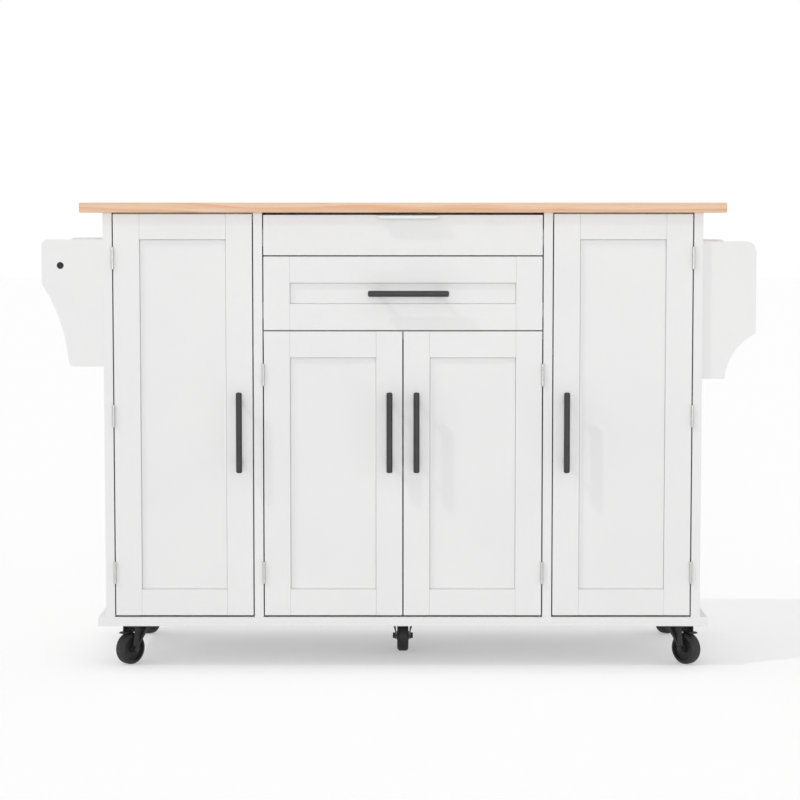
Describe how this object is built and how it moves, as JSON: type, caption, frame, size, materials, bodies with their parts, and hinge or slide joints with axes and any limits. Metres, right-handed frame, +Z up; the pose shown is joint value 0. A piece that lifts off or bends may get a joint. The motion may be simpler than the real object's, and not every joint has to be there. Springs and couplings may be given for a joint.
{
  "type": "rolling kitchen island",
  "caption": "White kitchen island on casters with a light wood worktop, framed doors, drawers, bar handles, a towel bar at one end and a spice rack at the other.",
  "frame": {"origin": "on the floor under the middle of the case", "axes": "+X to the right seen from the front, +Y from the doors to the back, +Z up"},
  "size_m": [1.444, 0.504, 0.948],
  "materials": {
    "white_paint": "satin white paint on board",
    "worktop_wood": "clear satin lacquer on light solid wood",
    "drawer_wood": "plain white faced board",
    "black_metal": "matt black powder coat",
    "hinge_steel": "satin nickel plate",
    "runner_steel": "bright zinc plate",
    "catch_plastic": "white moulded plastic",
    "caster_metal": "black satin enamel",
    "caster_tread": "black moulded, slightly matt",
    "brake_plastic": "black moulded"
  },
  "bodies": {
    "cabinet": {"worktop": "worktop_wood", "left_side_panel": "white_paint", "left_divider": "white_paint", "right_divider": "white_paint", "right_side_panel": "white_paint", "base_board": "white_paint", "back_boards": "white_paint", "top_stretchers": "white_paint", "drawer_deck": "white_paint", "shelves": "white_paint", "shelf_pins": "hinge_steel", "hinge_frame_leaves": "hinge_steel", "hinge_pins": "hinge_steel", "door_catches": "catch_plastic", "runner_channels": "runner_steel", "towel_bracket_front": "white_paint", "towel_bracket_rear": "white_paint", "towel_bar": "black_metal", "spice_side_front": "white_paint", "spice_side_rear": "white_paint", "spice_shelves": "white_paint", "spice_rails": "white_paint", "caster_plates": "caster_metal"},
    "left_door": {"left_door_frame": "white_paint", "left_door_panel": "white_paint", "left_door_handle": "black_metal", "left_door_hinge_leaves": "hinge_steel"},
    "center_left_door": {"center_left_door_frame": "white_paint", "center_left_door_panel": "white_paint", "center_left_door_handle": "black_metal", "center_left_door_hinge_leaves": "hinge_steel"},
    "center_right_door": {"center_right_door_frame": "white_paint", "center_right_door_panel": "white_paint", "center_right_door_handle": "black_metal", "center_right_door_hinge_leaves": "hinge_steel"},
    "right_door": {"right_door_frame": "white_paint", "right_door_panel": "white_paint", "right_door_handle": "black_metal", "right_door_hinge_leaves": "hinge_steel"},
    "upper_drawer": {"upper_drawer_front": "white_paint", "upper_drawer_box": "drawer_wood", "upper_drawer_runners": "runner_steel"},
    "lower_drawer": {"lower_drawer_frame": "white_paint", "lower_drawer_panel": "white_paint", "lower_drawer_handle": "black_metal", "lower_drawer_box": "drawer_wood", "lower_drawer_runners": "runner_steel"},
    "front_left_fork": {"front_left_caster_fork": "caster_metal"},
    "front_left_wheel": {"front_left_caster_wheel": "caster_tread"},
    "front_left_brake": {"front_left_caster_brake": "brake_plastic"},
    "front_right_fork": {"front_right_caster_fork": "caster_metal"},
    "front_right_wheel": {"front_right_caster_wheel": "caster_tread"},
    "front_right_brake": {"front_right_caster_brake": "brake_plastic"},
    "rear_left_fork": {"rear_left_caster_fork": "caster_metal"},
    "rear_left_wheel": {"rear_left_caster_wheel": "caster_tread"},
    "rear_right_fork": {"rear_right_caster_fork": "caster_metal"},
    "rear_right_wheel": {"rear_right_caster_wheel": "caster_tread"},
    "middle_fork": {"middle_caster_fork": "caster_metal"},
    "middle_wheel": {"middle_caster_wheel": "caster_tread"}
  },
  "joints": [
    {"name": "left_door_hinge", "type": "hinge", "parent": "cabinet", "child": "left_door", "pos_m": [-0.58575, -0.2281, 0.1095], "axis": [0, 0, -1], "range_deg": [0, 165]},
    {"name": "center_left_door_hinge", "type": "hinge", "parent": "cabinet", "child": "center_left_door", "pos_m": [-0.28275, -0.2281, 0.1095], "axis": [0, 0, -1], "range_deg": [0, 120]},
    {"name": "center_right_door_hinge", "type": "hinge", "parent": "cabinet", "child": "center_right_door", "pos_m": [0.28275, -0.2281, 0.1095], "axis": [0, 0, 1], "range_deg": [0, 120]},
    {"name": "right_door_hinge", "type": "hinge", "parent": "cabinet", "child": "right_door", "pos_m": [0.58575, -0.2281, 0.1095], "axis": [0, 0, 1], "range_deg": [0, 165]},
    {"name": "upper_drawer_slide", "type": "slide", "parent": "cabinet", "child": "upper_drawer", "axis": [0, -1, 0], "range_m": [0, 0.29]},
    {"name": "lower_drawer_slide", "type": "slide", "parent": "cabinet", "child": "lower_drawer", "axis": [0, -1, 0], "range_m": [0, 0.29]},
    {"name": "front_left_swivel", "type": "hinge", "parent": "cabinet", "child": "front_left_fork", "pos_m": [-0.5475, -0.156, 0.087], "axis": [0, 0, 1], "continuous": true},
    {"name": "front_left_roll", "type": "hinge", "parent": "front_left_fork", "child": "front_left_wheel", "pos_m": [-0.56222, -0.17235, 0.0325], "axis": [0.7431, -0.6691, 0], "continuous": true},
    {"name": "front_left_brake_press", "type": "hinge", "parent": "front_left_fork", "child": "front_left_brake", "pos_m": [-0.55687, -0.1664, 0.07], "axis": [0.7431, -0.6691, 0], "range_deg": [0, 6]},
    {"name": "front_right_swivel", "type": "hinge", "parent": "cabinet", "child": "front_right_fork", "pos_m": [0.5695, -0.156, 0.087], "axis": [0, 0, 1], "continuous": true},
    {"name": "front_right_roll", "type": "hinge", "parent": "front_right_fork", "child": "front_right_wheel", "pos_m": [0.58422, -0.17235, 0.0325], "axis": [0.7431, 0.6691, 0], "continuous": true},
    {"name": "front_right_brake_press", "type": "hinge", "parent": "front_right_fork", "child": "front_right_brake", "pos_m": [0.57887, -0.1664, 0.07], "axis": [0.7431, 0.6691, 0], "range_deg": [0, 6]},
    {"name": "rear_left_swivel", "type": "hinge", "parent": "cabinet", "child": "rear_left_fork", "pos_m": [-0.5475, 0.174, 0.087], "axis": [0, 0, 1], "continuous": true},
    {"name": "rear_left_roll", "type": "hinge", "parent": "rear_left_fork", "child": "rear_left_wheel", "pos_m": [-0.56222, 0.19035, 0.0325], "axis": [-0.7431, -0.6691, 0], "continuous": true},
    {"name": "rear_right_swivel", "type": "hinge", "parent": "cabinet", "child": "rear_right_fork", "pos_m": [0.5695, 0.174, 0.087], "axis": [0, 0, 1], "continuous": true},
    {"name": "rear_right_roll", "type": "hinge", "parent": "rear_right_fork", "child": "rear_right_wheel", "pos_m": [0.58422, 0.19035, 0.0325], "axis": [-0.7431, 0.6691, 0], "continuous": true},
    {"name": "middle_swivel", "type": "hinge", "parent": "cabinet", "child": "middle_fork", "pos_m": [0, 0, 0.087], "axis": [0, 0, 1], "continuous": true},
    {"name": "middle_roll", "type": "hinge", "parent": "middle_fork", "child": "middle_wheel", "pos_m": [0, -0.022, 0.0325], "axis": [1, 0, 0], "continuous": true}
  ]
}
